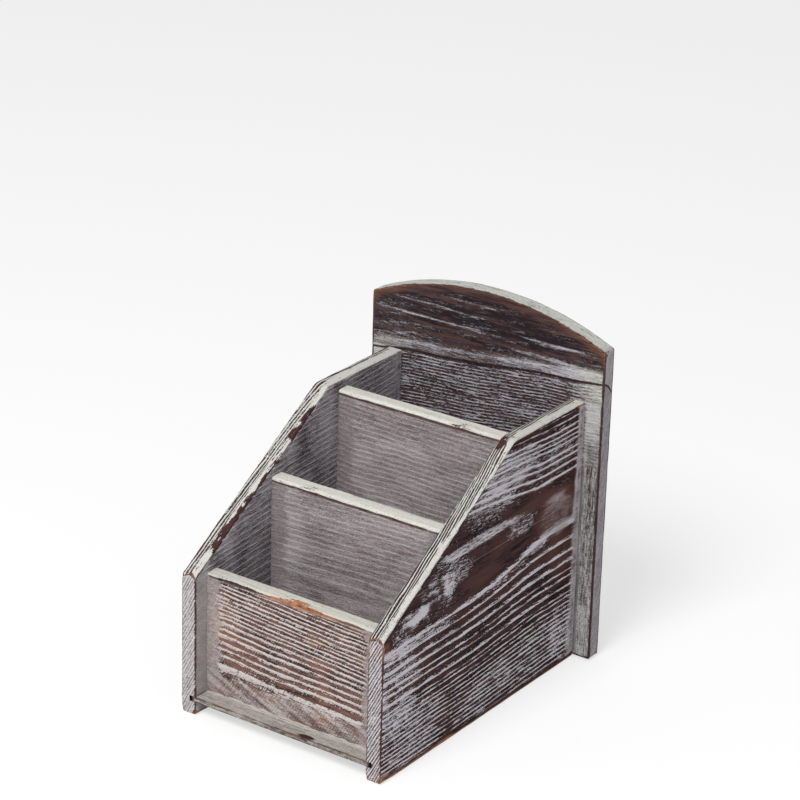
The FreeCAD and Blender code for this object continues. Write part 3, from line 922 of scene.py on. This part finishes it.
def wire_steel():
    material, tree, shader = new_material("galvanised_wire")
    coordinates = tree.nodes.new("ShaderNodeTexCoord")
    spangle = speckle(tree, coordinates.outputs["Object"], [SPANGLE] * 3)
    steel = blend_colours(tree, spangle, srgb(150, 152, 155), srgb(186, 188, 190))
    feed(tree, shader.inputs["Base Color"], steel)
    feed(tree, shader.inputs["Roughness"], weigh(tree, spangle, 0.25, 0.3))
    shader.inputs["Metallic"].default_value = 1.0
    return material


WIRE_STEEL = wire_steel()
for node in ("side_brads", "back_brads"):
    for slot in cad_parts[node].material_slots:
        slot.material = WIRE_STEEL

# Stage: a pale floor that only takes a soft shadow, white light from all round, one large soft
# lamp high up and just right of the front, and the camera at the photograph's angle.

FLOOR_SIZE = 6.0
WHITE = (1, 1, 1, 1)
LAMP_AIM = Vector((0, 0, 0.08))
CAMERA_AIM = Vector((-12.29, 23.79, 153.95)) * MM
CAMERA_DISTANCE = 1623.98 * MM
CAMERA_AZIMUTH = math.radians(34.669)
CAMERA_ELEVATION = math.radians(22.553)
CAMERA_ROLL = math.radians(1.632)
CAMERA_LENS = 137.005  # on a 36 mm sensor


def mix_surface(tree, factor, first, second, output):
    """Mixes two shaders and feeds the tree's output with them."""
    mixed = tree.nodes.new("ShaderNodeMixShader")
    for socket, value in zip(mixed.inputs, (factor, first.outputs[0], second.outputs[0])):
        feed(tree, socket, value)
    tree.links.new(mixed.outputs[0], tree.nodes[output].inputs["Surface"])


def stage_floor():
    floor = bmesh.new()
    bmesh.ops.create_grid(floor, x_segments=4, y_segments=4, size=FLOOR_SIZE / 2)
    mesh = bpy.data.meshes.new("floor")
    floor.to_mesh(mesh)
    floor.free()
    material, tree, shader = new_material("pale_floor")
    shader.inputs["Base Color"].default_value = srgb(246, 246, 246)
    shader.inputs["Roughness"].default_value = 0.9
    shader.inputs["Specular IOR Level"].default_value = 0.0
    paper = tree.nodes.new("ShaderNodeEmission")
    paper.inputs["Color"].default_value = WHITE
    path = tree.nodes.new("ShaderNodeLightPath")
    seen = calculate(tree, "MULTIPLY", path.outputs["Is Camera Ray"], 0.6)
    mix_surface(tree, seen, shader, paper, "Material Output")
    mesh.materials.append(material)
    add_object("floor", mesh)


def white_world():
    world = bpy.data.worlds.new("studio")
    world.use_nodes = True
    tree = world.node_tree
    light = tree.nodes["Background"]
    seen = tree.nodes.new("ShaderNodeBackground")
    for background, strength in ((light, 0.46), (seen, 1.0)):
        background.inputs["Color"].default_value = WHITE
        background.inputs["Strength"].default_value = strength
    path = tree.nodes.new("ShaderNodeLightPath")
    either = calculate(tree, "MAXIMUM", path.outputs["Is Camera Ray"], path.outputs["Is Glossy Ray"])
    either = calculate(tree, "MAXIMUM", either, path.outputs["Is Transmission Ray"])
    mix_surface(tree, either, light, seen, "World Output")
    bpy.context.scene.world = world


def soft_lamp(name, place, size, power):
    lamp = bpy.data.lights.new(name, "AREA")
    lamp.shape = "DISK"
    lamp.size = size
    lamp.energy = power
    piece = add_object(name, lamp)
    piece.location = place
    piece.rotation_mode = "QUATERNION"
    piece.rotation_quaternion = (LAMP_AIM - place).to_track_quat("-Z", "Y")


def photo_camera():
    level = math.cos(CAMERA_ELEVATION)
    away = Vector((math.sin(CAMERA_AZIMUTH) * level, -math.cos(CAMERA_AZIMUTH) * level,
                   math.sin(CAMERA_ELEVATION)))
    data = bpy.data.cameras.new("photo_camera")
    data.lens = CAMERA_LENS
    data.sensor_width = 36.0
    data.clip_start, data.clip_end = 0.05, 20.0
    camera = add_object("photo_camera", data)
    camera.location = CAMERA_AIM + away * CAMERA_DISTANCE
    camera.rotation_mode = "QUATERNION"
    camera.rotation_quaternion = (-away).to_track_quat("-Z", "Y") @ Quaternion((0, 0, 1), CAMERA_ROLL)
    bpy.context.scene.camera = camera


stage_floor()
white_world()
soft_lamp("key_lamp", Vector((0.13, -1.44, 1.87)), 1.1, 49)
photo_camera()
bpy.context.scene.view_settings.view_transform = "Standard"
